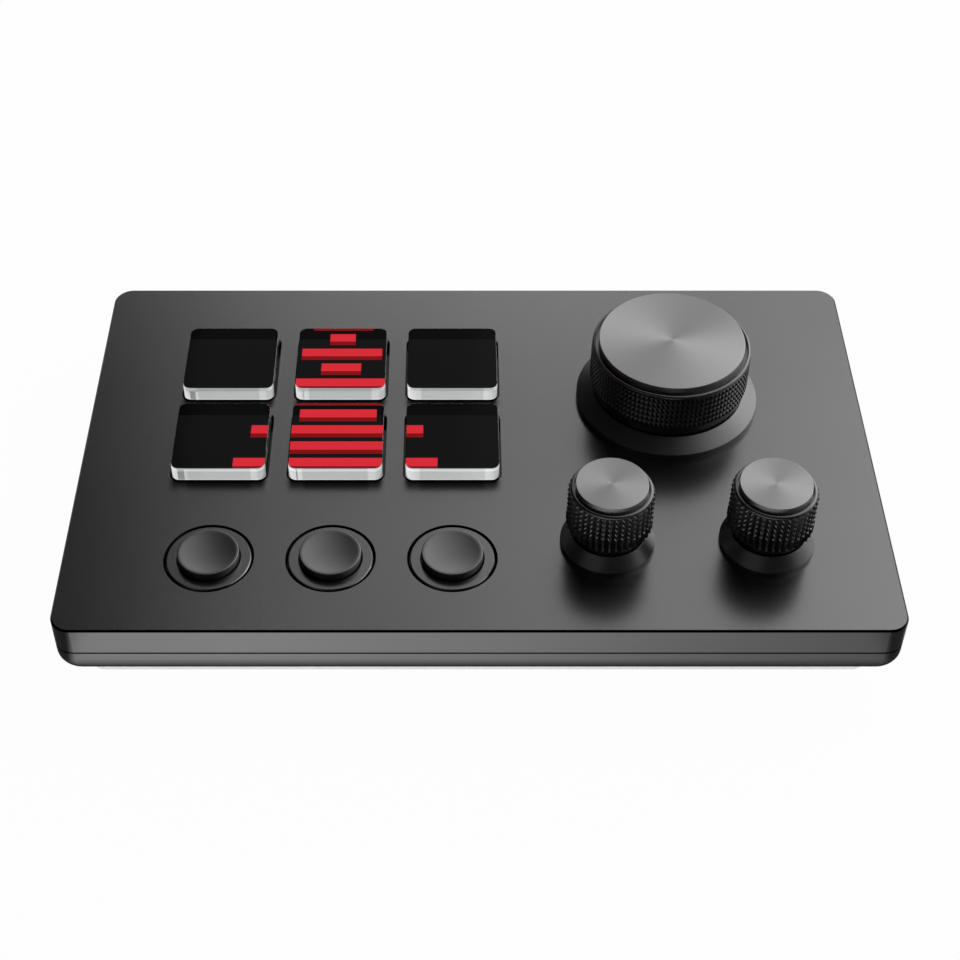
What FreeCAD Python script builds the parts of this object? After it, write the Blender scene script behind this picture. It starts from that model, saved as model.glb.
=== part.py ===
import FreeCAD, Part
import os
import re
import Sketcher

# Macro keypad with six clear display keys, three round buttons and three push-and-turn knobs.
# Frame: +X to the right of the user, +Y away from the user, +Z up, origin on the desk under the
# middle of the case. All lengths are millimetres.

doc = FreeCAD.newDocument("MacroKeypad")

# Driving dimensions. Names that end in Drop or Rise are heights below or above the outer face of
# the plate, names with Space are clear widths between pieces or to the case's sides, and all other
# heights are thicknesses or lengths of their own.
keyColumns = 3
sizeTable = {
    "layout of the plate": {
        "sideSpace": 15.25, "columnSpace": 3.7, "keyToCollar": 13.45, "largeSideSpace": 17.6,
        "backSpace": 13.825, "rowSpace": 3.55, "keyToGroove": 9.955, "frontSpace": 7.77,
        "largeBackSpace": 13.8, "collarSpace": 10.14, "smallSideSpace": 12.32,
        "smallFrontSpace": 10.87,
    },
    "case": {
        "cornerRadius": 3.2, "edgeChamfer": 0.3, "plateThickness": 1.6, "partingGap": 0.3,
        "lowerSide": 1.4, "upperWall": 2.0, "tongueClearance": 0.15, "tongueWall": 1.0,
        "tongueHeight": 2.0, "bottomRadius": 4.9, "bottomCornerRadius": 1.2, "footLift": 2.6,
        "floorThickness": 1.8, "innerCornerRadius": 1.5, "padInset": 4.1, "padSeatDepth": 0.6,
        "padClearance": 0.1, "padCornerRadius": 2.2, "cutOverrun": 0.5,
    },
    "case fasteners": {
        "bossInset": 8.5, "bossRadius": 2.6, "bossPlaneDrop": 6.0, "caseScrewRadius": 1.0,
        "screwClearance": 0.1, "caseHeadRadius": 1.9, "caseHeadHeight": 1.2,
        "caseScrewSpare": 1.1, "pilotSpare": 0.5, "driveRadius": 0.8, "driveDepth": 0.6,
    },
    "main board": {
        "boardThickness": 1.2, "boardCorner": 1.5, "boardGap": 0.4, "boardMargin": 1.15,
        "postHeight": 1.6, "postRadius": 2.2, "postInset": 3.0, "middlePostGap": 1.45,
        "middlePostY": -10.0, "rearPostGap": 5.45, "rearPostY": 30.0, "boardScrewRadius": 0.9,
        "boardHeadRadius": 1.7, "boardHeadHeight": 0.9, "floorGrip": 0.4,
    },
    "keys": {
        "keyWidth": 15.3, "keyDepth": 15.65, "keyCorner": 1.3, "keyRise": 2.6, "keyEdge": 0.25,
        "windowGap": 0.4, "flangeReach": 1.0, "flangeThickness": 0.8, "stopGap": 0.1,
        "springWall": 0.5, "springGap": 0.1, "keyTravel": 0.9, "keyRoom": 0.2,
    },
    "display": {
        "membraneThickness": 0.5, "panelThickness": 1.6, "panelMargin": 1.7, "trayFloor": 1.3,
        "frameWall": 1.0, "panelClearance": 0.1, "frameCorner": 1.0, "panelCorner": 0.5,
    },
    "round buttons": {
        "buttonRadius": 4.8, "buttonRise": 1.45, "buttonDish": 0.45, "buttonRim": 0.35,
        "buttonFlangeReach": 0.8, "buttonFlange": 0.7, "buttonGap": 0.2, "ringRadius": 6.65,
        "ringGap": 0.1, "ringChamfer": 0.3, "wellChamfer": 0.35, "ringLipReach": 0.75,
        "ringLipThickness": 0.6, "buttonTravel": 0.6, "buttonRoom": 0.2,
    },
    "button switches": {
        "switchWidth": 6.2, "switchCorner": 0.5, "plungerRadius": 1.6, "plungerClearance": 0.1,
        "switchFloor": 0.7,
    },
    "encoders": {
        "encoderWidth": 11.8, "encoderRoom": 0.8, "encoderFloor": 0.4, "encoderLid": 0.8,
        "encoderCorner": 0.8, "shaftPit": 0.4, "rotorRadius": 4.6, "rotorGap": 0.1,
        "bushingRadius": 3.5, "bushingClearance": 0.1, "threadStandOut": 0.4, "shaftRadius": 3.0,
        "shaftClearance": 0.05, "flatDepth": 0.5, "keyHalfWidth": 1.2, "keyOverlap": 0.6,
        "nutCorner": 4.7, "nutThickness": 1.0, "threadClearance": 0.02, "knobTravel": 0.5,
        "knobRoom": 0.2, "boreSpare": 0.1,
    },
    "knobs": {
        "knobHeight": 13.1, "discThickness": 1.2, "discChamfer": 0.4, "discStep": 0.5,
        "rimHeight": 0.7, "rimRounding": 0.25, "seatWeb": 1.3, "collarFloor": 0.6,
        "collarLip": 0.15, "footGap": 0.2,
    },
    "large knob": {
        "largeKnurlRadius": 13.2, "largeRimStep": 0.15, "largeRimWall": 0.55,
        "largeDiscGap": 0.15, "largeKnurlBase": 3.9, "largeHollowGap": 7.3,
        "largeHollowSpare": 3.0, "largeCollarRadius": 15.2, "largeCollarSide": 1.2,
        "largeConeTop": 3.0, "largeCollarBore": 12.55,
    },
    "small knobs": {
        "smallKnurlRadius": 6.5, "smallRimStep": 0.1, "smallRimWall": 0.38,
        "smallDiscGap": 0.12, "smallKnurlBase": 4.4, "smallHollowGap": 0.6,
        "smallHollowSpare": 0.7, "smallCollarRadius": 7.43, "smallCollarSide": 0.8,
        "smallConeTop": 2.9, "smallCollarBore": 5.8,
    },
    "socket and chips": {
        "socketX": 0.0, "socketWidth": 8.94, "socketHeight": 3.2, "socketLength": 7.4,
        "socketWall": 0.3, "socketRecess": 1.4, "socketTongueThickness": 0.7,
        "socketTongueWidth": 6.7, "socketBack": 1.2, "socketCorner": 1.2, "portClearance": 0.4,
        "chipWidth": 10.0, "chipHeight": 1.0, "chipX": 18.0, "chipY": 0.0, "connectorWidth": 14.0,
        "connectorDepth": 3.0, "connectorHeight": 1.6, "connectorGap": 1.9,
    },
}

# Lengths that follow from the driving ones. Each name stands for its formula in any expression.
derived = {
    "columnPitch": "keyWidth + columnSpace",
    "rowPitch": "keyDepth + rowSpace",
    "grooveRadius": "ringRadius + ringGap + wellChamfer",
    "keysWidth": "keyWidth + columnPitch * %d" % (keyColumns - 1),
    "bodyWidth": "sideSpace + keysWidth + keyToCollar + largeCollarRadius * 2 + largeSideSpace",
    "bodyDepth": "backSpace + keyDepth + rowPitch + keyToGroove + grooveRadius * 2 + frontSpace",
    "topHeight": "floorTop + postHeight + boardThickness + boardTopDrop",
    "plateUnder": "topHeight - plateThickness",
    "floorTop": "footLift + floorThickness",
    "lowerTop": "footLift + bottomRadius + lowerSide",
    "upperBottom": "lowerTop + partingGap",
    "lowerWall": "upperWall + tongueClearance + tongueWall",
    "bossX": "bodyWidth / 2 - bossInset",
    "bossY": "bodyDepth / 2 - bossInset",
    "bossPlane": "topHeight - bossPlaneDrop",
    "caseHeadSink": "padSeatDepth + padClearance + caseHeadHeight",
    "caseHeadTop": "footLift + caseHeadSink",
    "caseScrewLength": "plateUnder - caseScrewSpare - caseHeadTop",
    "boardTopDrop": "panelTopDrop + panelThickness + trayFloor",
    "boardTop": "topHeight - boardTopDrop",
    "boardBottom": "boardTop - boardThickness",
    "boardWidth": "(bossX - bossRadius - boardGap) * 2",
    "boardDepth": "bodyDepth - (lowerWall + boardMargin) * 2",
    "boardScrewLength": "boardTop - floorTop + floorGrip",
    "postX": "boardWidth / 2 - postInset",
    "postY": "boardDepth / 2 - postInset",
    "flangeDrop": "plateThickness + stopGap",
    "flangeBaseDrop": "flangeDrop + flangeThickness",
    "springHeight": "keyTravel + keyRoom",
    "panelTopDrop": "flangeBaseDrop + springHeight + membraneThickness",
    "panelTop": "topHeight - panelTopDrop",
    "keyBaseDrop": "panelTopDrop - keyTravel - keyRoom",
    "firstColumnX": "sideSpace + keyWidth / 2 - bodyWidth / 2",
    "upperRowY": "bodyDepth / 2 - backSpace - keyDepth / 2",
    "displayX": "firstColumnX + columnPitch",
    "displayY": "upperRowY - rowPitch / 2",
    "panelWidth": "keysWidth + panelMargin * 2",
    "panelDepth": "rowPitch + keyDepth + panelMargin * 2",
    "frameWidth": "panelWidth + (panelClearance + frameWall) * 2",
    "frameDepth": "panelDepth + (panelClearance + frameWall) * 2",
    "frameHeight": "panelThickness + trayFloor",
    "frameSide": "displayX + frameWidth / 2 + boardHeadRadius",
    "middlePostX": "frameSide + middlePostGap",
    "rearPostX": "frameSide + rearPostGap",
    "windowWidth": "keyWidth + windowGap * 2",
    "windowDepth": "keyDepth + windowGap * 2",
    "windowCorner": "keyCorner + windowGap",
    "buttonY": "frontSpace + grooveRadius - bodyDepth / 2",
    "ringBaseDrop": "plateThickness + ringLipThickness",
    "wellRadius": "ringRadius + ringGap",
    "buttonShoulderDrop": "ringBaseDrop + stopGap",
    "buttonBaseDrop": "buttonShoulderDrop + buttonFlange",
    "dishRadius": "buttonRadius - buttonRim",
    "switchHeight": "boardTopDrop - buttonBaseDrop - buttonTravel - buttonRoom",
    "plungerBaseDrop": "boardTopDrop - switchFloor - buttonTravel - plungerClearance",
    "plungerLength": "plungerBaseDrop - buttonBaseDrop",
    "encoderHeight": "boardTopDrop - plateThickness - encoderRoom",
    "rotorBaseDrop": "boardTopDrop - encoderFloor - shaftPit - rotorGap",
    "rotorThickness": "encoderHeight - encoderFloor - shaftPit - encoderLid - rotorGap * 2",
    "bushingRise": "collarFloor + nutThickness + threadStandOut",
    "bushingHole": "bushingRadius + bushingClearance",
    "shaftBore": "shaftRadius + shaftClearance",
    "shaftBaseDrop": "boardTopDrop - encoderFloor - knobTravel - knobRoom",
    "shaftTopRise": "boreTopRise - boreSpare",
    "seatRise": "knobHeight - discThickness",
    "boreTopRise": "seatRise - seatWeb",
    "rimTopRise": "knobHeight - discStep",
    "rimBottomRise": "rimTopRise - rimHeight",
    "footBaseRise": "collarFloor + nutThickness + knobTravel + knobRoom",
    "largeX": "bodyWidth / 2 - largeSideSpace - largeCollarRadius",
    "largeY": "bodyDepth / 2 - largeBackSpace - largeCollarRadius",
    "smallRightX": "bodyWidth / 2 - smallSideSpace - smallCollarRadius",
    "smallLeftX": "smallRightX - smallCollarRadius * 2 - collarSpace",
    "smallY": "smallFrontSpace + smallCollarRadius - bodyDepth / 2",
    "socketMiddle": "boardTop + socketHeight / 2",
    "connectorY": "displayY + frameDepth / 2 + connectorGap",
}
for kind in ("large", "small"):
    derived[kind + "RimRadius"] = kind + "KnurlRadius - " + kind + "RimStep"
    derived[kind + "SeatRadius"] = kind + "RimRadius - " + kind + "RimWall"
    derived[kind + "DiscRadius"] = kind + "SeatRadius - " + kind + "DiscGap"
    derived[kind + "ConeRadius"] = kind + "CollarBore + collarLip"
    derived[kind + "FootRadius"] = kind + "CollarBore - footGap"
    derived[kind + "HollowRadius"] = "bushingRadius + " + kind + "HollowGap"
    derived[kind + "HollowTop"] = "bushingRise + knobTravel + " + kind + "HollowSpare"

# The rolled bottom edge of the case is lofted through this many steps, and a button's dish turns
# at one point, given as shares of its radius and of its depth.
rightAngle = 90
rollSteps = 4
dishRadiusShare = 0.6
dishDepthShare = 0.64
planeTolerance = 1e-4

sizes = doc.addObject("Spreadsheet::Sheet", "Sizes")
sheetRow = 1
for group, entries in sizeTable.items():
    sizes.set("A%d" % sheetRow, group)
    sheetRow += 1
    for alias, number in entries.items():
        sizes.set("A%d" % sheetRow, alias)
        sizes.set("B%d" % sheetRow, str(number))
        sizes.setAlias("B%d" % sheetRow, alias)
        sheetRow += 1
doc.recompute()

aliases = {alias for entries in sizeTable.values() for alias in entries}


def sized(expression):
    """Turns an expression in plain size names into one that reads the sheet."""
    def named(match):
        word = match.group(0)
        if word in derived:
            return "(" + sized(derived[word]) + ")"
        return "Sizes." + word if word in aliases else word
    return re.sub(r"[A-Za-z]+", named, expression)


def value(expression):
    return float(sizes.evalExpression(sized(expression)))


columnX = ["firstColumnX + columnPitch * %d" % column for column in range(keyColumns)]
keyPlaces = [(x, y) for y in ("upperRowY", "upperRowY - rowPitch") for x in columnX]
corners = [(-1, -1), (-1, 1), (1, -1), (1, 1)]
bossPlaces = [("bossX * %d" % sx, "bossY * %d" % sy) for sx, sy in corners]
postPlaces = [("postX * %d" % sx, "postY * %d" % sy) for sx, sy in corners]
postPlaces += [("middlePostX", "middlePostY"), ("rearPostX", "rearPostY")]
knobs = {
    "large": ("large", "largeX", "largeY"),
    "small_left": ("small", "smallLeftX", "smallY"),
    "small_right": ("small", "smallRightX", "smallY"),
}

parts = []


def newPart(label, x="0", y="0", z="0"):
    """A body with its place bound to the sheet."""
    body = doc.addObject("PartDesign::Body", "Body_" + label)
    body.Label = label
    for axis, expression in zip("xyz", (x, y, z)):
        body.setExpression("Placement.Base." + axis, sized(expression))
    parts.append(body)
    return body


def newSketch(body, name, role="XY_Plane", offset="0"):
    """A sketch on one of the body's own origin planes, moved along its normal."""
    sketch = body.newObject("Sketcher::SketchObject", name)
    plane = [item for item in body.Origin.OriginFeatures if item.Role == role][0]
    sketch.AttachmentSupport = [(plane, "")]
    sketch.MapMode = "FlatFace"
    sketch.setExpression("AttachmentOffset.Base.z", sized(offset))
    return sketch


def bindLast(sketch, expression):
    sketch.setExpression("Constraints[%d]" % (sketch.ConstraintCount - 1), sized(expression))


def placePoint(sketch, geometry, vertex, x, y):
    """Ties one point of the sketch to named distances from its origin."""
    for kind, axis, expression in (("DistanceX", -2, x), ("DistanceY", -1, y)):
        if expression == "0":
            sketch.addConstraint(Sketcher.Constraint("PointOnObject", geometry, vertex, axis))
            continue
        sketch.addConstraint(
            Sketcher.Constraint(kind, -1, 1, geometry, vertex, value(expression)))
        bindLast(sketch, expression)


def roundedRectangle(sketch, width, depth, radius, x="0", y="0"):
    """Four lines and four tangent arcs about the centre (x, y)."""
    halfWidth, halfDepth, r = value(width) / 2, value(depth) / 2, value(radius)
    cx, cy = value(x), value(y)
    corners = [(1, 1), (-1, 1), (-1, -1), (1, -1)]
    arcs = []
    normal = FreeCAD.Vector(0, 0, 1)
    quarter = FreeCAD.Units.Quantity("%g deg" % rightAngle).getValueAs("rad").Value
    for index, (sx, sy) in enumerate(corners):
        middle = FreeCAD.Vector(cx + sx * (halfWidth - r), cy + sy * (halfDepth - r), 0)
        circle = Part.Circle(middle, normal, r)
        arcs.append(sketch.addGeometry(
            Part.ArcOfCircle(circle, quarter * index, quarter * (index + 1)), False))
    lines = []
    for index in range(len(corners)):
        start = sketch.getPoint(arcs[index], 2)
        end = sketch.getPoint(arcs[(index + 1) % len(corners)], 1)
        lines.append(sketch.addGeometry(Part.LineSegment(start, end), False))
    for index, line in enumerate(lines):
        following = arcs[(index + 1) % len(corners)]
        sketch.addConstraint(Sketcher.Constraint("Tangent", arcs[index], 2, line, 1))
        sketch.addConstraint(Sketcher.Constraint("Tangent", line, 2, following, 1))
        direction = "Vertical" if index % 2 else "Horizontal"
        sketch.addConstraint(Sketcher.Constraint(direction, line))
    for arc in arcs[1:]:
        sketch.addConstraint(Sketcher.Constraint("Equal", arcs[0], arc))
    sketch.addConstraint(Sketcher.Constraint("Radius", arcs[0], r))
    bindLast(sketch, radius)
    sketch.addConstraint(Sketcher.Constraint("DistanceX", lines[0], 2, lines[0], 1, 2 * (halfWidth - r)))
    bindLast(sketch, "(%s) - 2 * (%s)" % (width, radius))
    sketch.addConstraint(Sketcher.Constraint("DistanceY", lines[1], 2, lines[1], 1, 2 * (halfDepth - r)))
    bindLast(sketch, "(%s) - 2 * (%s)" % (depth, radius))
    centre = sketch.addGeometry(Part.Point(FreeCAD.Vector(cx, cy, 0)), True)
    sketch.addConstraint(Sketcher.Constraint("Symmetric", arcs[0], 3, arcs[2], 3, centre, 1))
    placePoint(sketch, centre, 1, x, y)


def circle(sketch, radius, x="0", y="0"):
    middle = FreeCAD.Vector(value(x), value(y), 0)
    index = sketch.addGeometry(Part.Circle(middle, FreeCAD.Vector(0, 0, 1), value(radius)), False)
    sketch.addConstraint(Sketcher.Constraint("Radius", index, value(radius)))
    bindLast(sketch, radius)
    placePoint(sketch, index, 3, x, y)


def polygon(sketch, points):
    """A closed outline through points given as pairs of expressions."""
    spots = [FreeCAD.Vector(value(u), value(v), 0) for u, v in points]
    lines = [sketch.addGeometry(Part.LineSegment(spots[index], spots[(index + 1) % len(spots)]), False)
             for index in range(len(spots))]
    for index, line in enumerate(lines):
        following = lines[(index + 1) % len(lines)]
        sketch.addConstraint(Sketcher.Constraint("Coincident", line, 2, following, 1))
    for line, (u, v) in zip(lines, points):
        placePoint(sketch, line, 1, u, v)


def extrude(body, name, sketch, length, upwards=True, cut=False):
    """A pad or pocket of stated direction: a pocket has to remove material, a pad to add some."""
    before = body.Shape.Volume if body.Tip else 0
    feature = body.newObject("PartDesign::Pocket" if cut else "PartDesign::Pad", name)
    feature.Profile = sketch
    feature.Type = 0
    feature.setExpression("Length", sized(length))
    feature.Reversed = upwards if cut else not upwards
    sketch.Visibility = False
    doc.recompute()
    change = body.Shape.Volume - before
    if change == 0 or (change > 0) == cut:
        raise RuntimeError("%s of %s changes nothing" % (name, body.Label))
    return feature


def revolve(body, name, profile, cut=False):
    """Turns an outline of (radius, height) points about the body's Z axis."""
    sketch = newSketch(body, name + "Profile", "XZ_Plane")
    polygon(sketch, profile)
    before = body.Shape.Volume if body.Tip else 0
    feature = body.newObject("PartDesign::Groove" if cut else "PartDesign::Revolution", name)
    feature.Profile = sketch
    feature.ReferenceAxis = (sketch, ["V_Axis"])
    feature.Angle = rightAngle * 4
    doc.recompute()
    change = body.Shape.Volume - before
    if change == 0 or (change > 0) == cut:
        raise RuntimeError("%s of %s changes nothing" % (name, body.Label))
    return feature


def edgesAt(body, height, radius=None):
    """Names of the edges that lie in the plane at this height, round ones of one radius if given."""
    names = []
    for index, edge in enumerate(body.Tip.Shape.Edges):
        box = edge.BoundBox
        if abs(box.ZMin - height) > planeTolerance or abs(box.ZMax - height) > planeTolerance:
            continue
        if radius is not None:
            if edge.Curve.TypeId != "Part::GeomCircle" or abs(edge.Curve.Radius - radius) > planeTolerance:
                continue
        names.append("Edge%d" % (index + 1))
    return names


def dress(body, kind, name, edges, size):
    """A fillet or chamfer on named edges of the body's last feature."""
    base = body.Tip
    feature = body.newObject("PartDesign::" + kind, name)
    feature.Base = (base, edges)
    feature.setExpression("Radius" if kind == "Fillet" else "Size", sized(size))
    doc.recompute()
    return feature


def block(body, name, bottom, height, width, depth, radius, cut=False):
    """An upright block with rounded corners about the body's Z axis, or a hole of that form."""
    sketch = newSketch(body, name + "Outline", offset=bottom)
    roundedRectangle(sketch, width, depth, radius)
    return extrude(body, name, sketch, height, cut=cut)


def pegs(body, name, bottom, height, radius, places, cut=False):
    """Round posts or holes of one radius, all rising from the same height."""
    sketch = newSketch(body, name + "Circles", offset=bottom)
    for x, y in places:
        circle(sketch, radius, x, y)
    return extrude(body, name, sketch, height, cut=cut)


def portCut(body):
    """The rounded opening for the plug, through the rear wall and the tongue behind it."""
    sketch = newSketch(body, "PortOutline", "XZ_Plane", "-(bodyDepth / 2 + cutOverrun)")
    roundedRectangle(sketch, "socketWidth + portClearance * 2", "socketHeight + portClearance * 2",
                     "socketCorner + portClearance", "socketX", "socketMiddle")
    extrude(body, "PortOpening", sketch, "lowerWall + cutOverrun * 2", upwards=True, cut=True)


def topShell():
    """Upper casing: the metal plate with its side wall, windows, wells and screw bosses."""
    body = newPart("top_shell")
    block(body, "Blank", "upperBottom", "topHeight - upperBottom", "bodyWidth", "bodyDepth", "cornerRadius")
    dress(body, "Chamfer", "TopEdge", edgesAt(body, value("topHeight")), "edgeChamfer")
    block(body, "Hollow", "upperBottom", "plateUnder - upperBottom", "bodyWidth - upperWall * 2",
          "bodyDepth - upperWall * 2", "innerCornerRadius", cut=True)
    pegs(body, "Bosses", "bossPlane", "bossPlaneDrop - plateThickness", "bossRadius", bossPlaces)
    pegs(body, "Pilots", "bossPlane", "caseHeadTop + caseScrewLength + pilotSpare - bossPlane",
         "caseScrewRadius + screwClearance / 2", bossPlaces, cut=True)
    windows = newSketch(body, "WindowOutlines", offset="plateUnder - cutOverrun")
    for x, y in keyPlaces:
        roundedRectangle(windows, "windowWidth", "windowDepth", "windowCorner", x, y)
    extrude(body, "Windows", windows, "plateThickness + cutOverrun * 2", cut=True)
    pegs(body, "ButtonWells", "plateUnder - cutOverrun", "plateThickness + cutOverrun * 2",
         "wellRadius", [(x, "buttonY") for x in columnX], cut=True)
    rims = edgesAt(body, value("topHeight"), value("wellRadius"))
    dress(body, "Chamfer", "WellEdges", rims, "wellChamfer")
    pegs(body, "BushingHoles", "plateUnder - cutOverrun", "plateThickness + cutOverrun * 2",
         "bushingHole", [(x, y) for kind, x, y in knobs.values()], cut=True)
    portCut(body)


def bottomShell():
    """Lower casing: a tray whose outer bottom edge rolls under, with a tongue into the upper wall."""
    body = newPart("bottom_shell")
    sections = []
    for step in range(rollSteps + 1):
        angle = rightAngle * (rollSteps - step) / rollSteps
        inset = "bottomRadius * (1 - cos(%g))" % angle
        sketch = newSketch(body, "Section%d" % step,
                           offset="footLift + bottomRadius * (1 - sin(%g))" % angle)
        roundedRectangle(sketch, "bodyWidth - 2 * " + inset, "bodyDepth - 2 * " + inset,
                         "cornerRadius - (cornerRadius - bottomCornerRadius) * (1 - cos(%g))" % angle)
        sections.append(sketch)
    roll = body.newObject("PartDesign::AdditiveLoft", "RolledEdge")
    roll.Profile = sections[0]
    roll.Sections = sections[1:]
    doc.recompute()
    block(body, "Wall", "footLift + bottomRadius", "lowerSide",
          "bodyWidth", "bodyDepth", "cornerRadius")
    block(body, "Tongue", "lowerTop - tongueWall", "tongueHeight + tongueWall",
          "bodyWidth - (upperWall + tongueClearance) * 2",
          "bodyDepth - (upperWall + tongueClearance) * 2", "innerCornerRadius - tongueClearance")
    block(body, "Hollow", "floorTop", "lowerTop + tongueHeight + cutOverrun - floorTop",
          "bodyWidth - lowerWall * 2", "bodyDepth - lowerWall * 2",
          "(innerCornerRadius - tongueClearance) / 2", cut=True)
    pegs(body, "Bosses", "floorTop", "bossPlane - floorTop", "bossRadius", bossPlaces)
    pegs(body, "Posts", "floorTop", "boardBottom - floorTop", "postRadius", postPlaces)
    block(body, "PadSeat", "footLift", "padSeatDepth", "bodyWidth - (padInset - padClearance) * 2",
          "bodyDepth - (padInset - padClearance) * 2", "padCornerRadius + padClearance", cut=True)
    pegs(body, "HeadSinks", "footLift", "caseHeadSink", "caseHeadRadius + screwClearance",
         bossPlaces, cut=True)
    pegs(body, "ScrewHoles", "footLift", "bossPlane - footLift + cutOverrun",
         "caseScrewRadius + screwClearance", bossPlaces, cut=True)
    pegs(body, "PostHoles", "boardTop - boardScrewLength - pilotSpare",
         "boardScrewLength + pilotSpare", "boardScrewRadius + screwClearance / 2", postPlaces, cut=True)
    portCut(body)


def basePad():
    """Soft pad in the tray's underside: the face the keypad stands on."""
    body = newPart("base_pad")
    block(body, "Pad", "0", "footLift + padSeatDepth", "bodyWidth - padInset * 2",
          "bodyDepth - padInset * 2", "padCornerRadius")


def cylinderAt(name, x, y, z, height, radius):
    item = doc.addObject("Part::Cylinder", name)
    item.setExpression("Radius", sized(radius))
    item.setExpression("Height", sized(height))
    for axis, expression in zip("xyz", (x, y, z)):
        item.setExpression("Placement.Base." + axis, sized(expression))
    return item


def joined(kind, name, base, tool):
    item = doc.addObject("Part::" + kind, name)
    item.Base = base
    item.Tool = tool
    return item


def screw(tag, x, y, seat, length, radius, headRadius, headHeight, headUp):
    """Flat headed screw with a round drive recess; seat is the height that its head bears on."""
    if headUp:
        shankBase, headBase = seat + " - " + length, seat
        driveBase = "%s + %s - driveDepth" % (seat, headHeight)
    else:
        shankBase, headBase = seat, "%s - %s" % (seat, headHeight)
        driveBase = headBase + " - cutOverrun"
    shank = cylinderAt("Shank_" + tag, x, y, shankBase, length, radius)
    head = cylinderAt("Head_" + tag, x, y, headBase, headHeight, headRadius)
    drive = cylinderAt("Drive_" + tag, x, y, driveBase, "driveDepth + cutOverrun", "driveRadius")
    return joined("Cut", "Screw_" + tag, joined("Fuse", "Blank_" + tag, head, shank), drive)


def screwGroup(label, places, **form):
    """Identical screws, each a solid of its own, in one node."""
    group = doc.addObject("Part::Compound", "Group_" + label)
    group.Label = label
    group.Links = [screw("%s%d" % (label, index), x, y, **form)
                   for index, (x, y) in enumerate(places)]
    parts.append(group)


def mainBoard():
    """Circuit board on the tray's posts, with clearance holes for its screws."""
    body = newPart("main_board", z="boardBottom")
    block(body, "Board", "0", "boardThickness", "boardWidth", "boardDepth", "boardCorner")
    pegs(body, "ScrewHoles", "0", "boardThickness + cutOverrun", "boardScrewRadius + screwClearance",
         postPlaces, cut=True)


def displayFrame():
    """Tray under the display, standing on the board, with a rim that locates the panel."""
    body = newPart("display_frame", "displayX", "displayY", "boardTop")
    block(body, "Tray", "0", "frameHeight", "frameWidth", "frameDepth", "frameCorner")
    block(body, "Seat", "frameHeight - panelThickness", "panelThickness + cutOverrun",
          "panelWidth + panelClearance * 2", "panelDepth + panelClearance * 2", "panelCorner", cut=True)


def displayPanel():
    """One flat display that shows through all six clear keys."""
    body = newPart("display_panel", "displayX", "displayY", "panelTop - panelThickness")
    block(body, "Panel", "0", "panelThickness", "panelWidth", "panelDepth", "panelCorner")


def keyMembrane():
    """Silicone sheet on the display with one opening under each key."""
    body = newPart("key_membrane", "displayX", "displayY", "panelTop")
    block(body, "Sheet", "0", "membraneThickness", "frameWidth", "frameDepth", "frameCorner")
    openings = newSketch(body, "OpeningOutlines")
    for x, y in keyPlaces:
        roundedRectangle(openings, "windowWidth", "windowDepth", "windowCorner",
                         x + " - displayX", y + " - displayY")
    extrude(body, "Openings", openings, "membraneThickness + cutOverrun", cut=True)


def displayKey(number, x, y):
    """Clear key block with a flange that keeps it under the plate."""
    body = newPart("display_key_%d" % number, x, y, "topHeight")
    block(body, "Block", "-keyBaseDrop", "keyRise + keyBaseDrop", "keyWidth", "keyDepth", "keyCorner")
    block(body, "Flange", "-flangeBaseDrop", "flangeThickness", "keyWidth + flangeReach * 2",
          "keyDepth + flangeReach * 2", "keyCorner + flangeReach")
    dress(body, "Fillet", "SoftEdge", edgesAt(body, value("keyRise")), "keyEdge")


def keySpring(number, x, y):
    """Thin silicone wall round the key's foot, squeezed between its flange and the membrane."""
    body = newPart("key_spring_%d" % number, x, y, "panelTop + membraneThickness")
    block(body, "Wall", "0", "springHeight", "windowWidth + (springGap + springWall) * 2",
          "windowDepth + (springGap + springWall) * 2", "windowCorner + springGap + springWall")
    block(body, "Hollow", "0", "springHeight + cutOverrun", "windowWidth + springGap * 2",
          "windowDepth + springGap * 2", "windowCorner + springGap", cut=True)


def roundButton(number, x):
    """Dished round cap on a wide flange that the ring holds down."""
    body = newPart("round_button_%d" % number, x, "buttonY", "topHeight")
    flange = "buttonRadius + buttonFlangeReach"
    revolve(body, "Cap", [
        ("0", "-buttonBaseDrop"), (flange, "-buttonBaseDrop"), (flange, "-buttonShoulderDrop"),
        ("buttonRadius", "-buttonShoulderDrop"), ("buttonRadius", "buttonRise - buttonRim / 2"),
        ("buttonRadius - buttonRim / 2", "buttonRise"), ("dishRadius", "buttonRise"),
        ("dishRadius * %g" % dishRadiusShare, "buttonRise - buttonDish * %g" % dishDepthShare),
        ("0", "buttonRise - buttonDish"),
    ])


def buttonRing(number, x):
    """Ring flush with the plate round one button, with a lip under the plate."""
    body = newPart("button_ring_%d" % number, x, "buttonY", "topHeight")
    lip = "ringRadius + ringLipReach"
    revolve(body, "Ring", [
        ("buttonRadius + buttonGap", "-ringBaseDrop"), (lip, "-ringBaseDrop"),
        (lip, "-plateThickness"), ("ringRadius", "-plateThickness"), ("ringRadius", "-ringChamfer"),
        ("ringRadius - ringChamfer", "0"), ("buttonRadius + buttonGap", "0"),
    ])


def buttonSwitch(number, x):
    """Tactile switch housing on the board with a bore for its plunger."""
    body = newPart("button_switch_%d" % number, x, "buttonY", "boardTop")
    block(body, "Housing", "0", "switchHeight", "switchWidth", "switchWidth", "switchCorner")
    pegs(body, "Bore", "switchFloor", "switchHeight - switchFloor + cutOverrun",
         "plungerRadius + plungerClearance", [("0", "0")], cut=True)


def switchPlunger(number, x):
    """Plunger of the tactile switch, touching the button's underside."""
    body = newPart("switch_plunger_%d" % number, x, "buttonY", "topHeight - plungerBaseDrop")
    pegs(body, "Plunger", "0", "plungerLength", "plungerRadius", [("0", "0")])


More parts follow.
